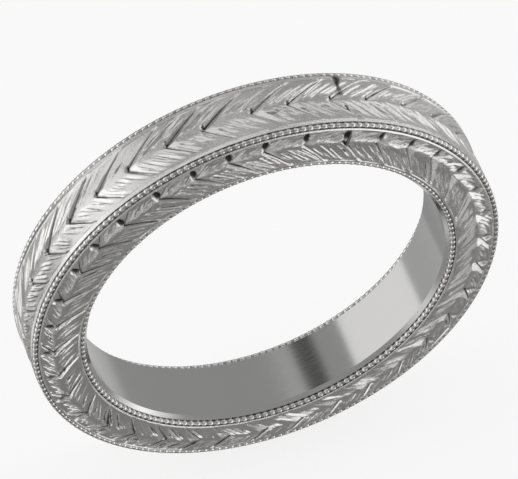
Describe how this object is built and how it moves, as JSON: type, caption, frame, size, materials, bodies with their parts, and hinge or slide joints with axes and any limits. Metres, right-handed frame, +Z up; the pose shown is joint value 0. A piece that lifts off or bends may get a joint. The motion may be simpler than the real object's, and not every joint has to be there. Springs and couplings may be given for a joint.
{
  "type": "wedding band",
  "caption": "Wedding band in white precious metal, hand engraved with wheat ears on its outer face and sloped sides, with beaded wires on its corners.",
  "frame": {"origin": "centre of the finger hole, halfway across the band", "axes": "the band stands on its rim: Y along the finger hole with -Y the front face, +Z up"},
  "size_m": [0.022, 0.0036, 0.022],
  "materials": {
    "engraved_band_metal": "bright-cut engraving over a polished bore",
    "milgrain_metal": "burnished beads",
    "hard_solder": "filed solder"
  },
  "bodies": {
    "root": {"engraved_shank": "engraved_band_metal", "shank_seam_solder": "hard_solder", "front_outer_milgrain_wire": "milgrain_metal", "front_inner_milgrain_wire": "milgrain_metal", "back_outer_milgrain_wire": "milgrain_metal", "back_inner_milgrain_wire": "milgrain_metal", "milgrain_wire_solder": "hard_solder"}
  },
  "joints": []
}
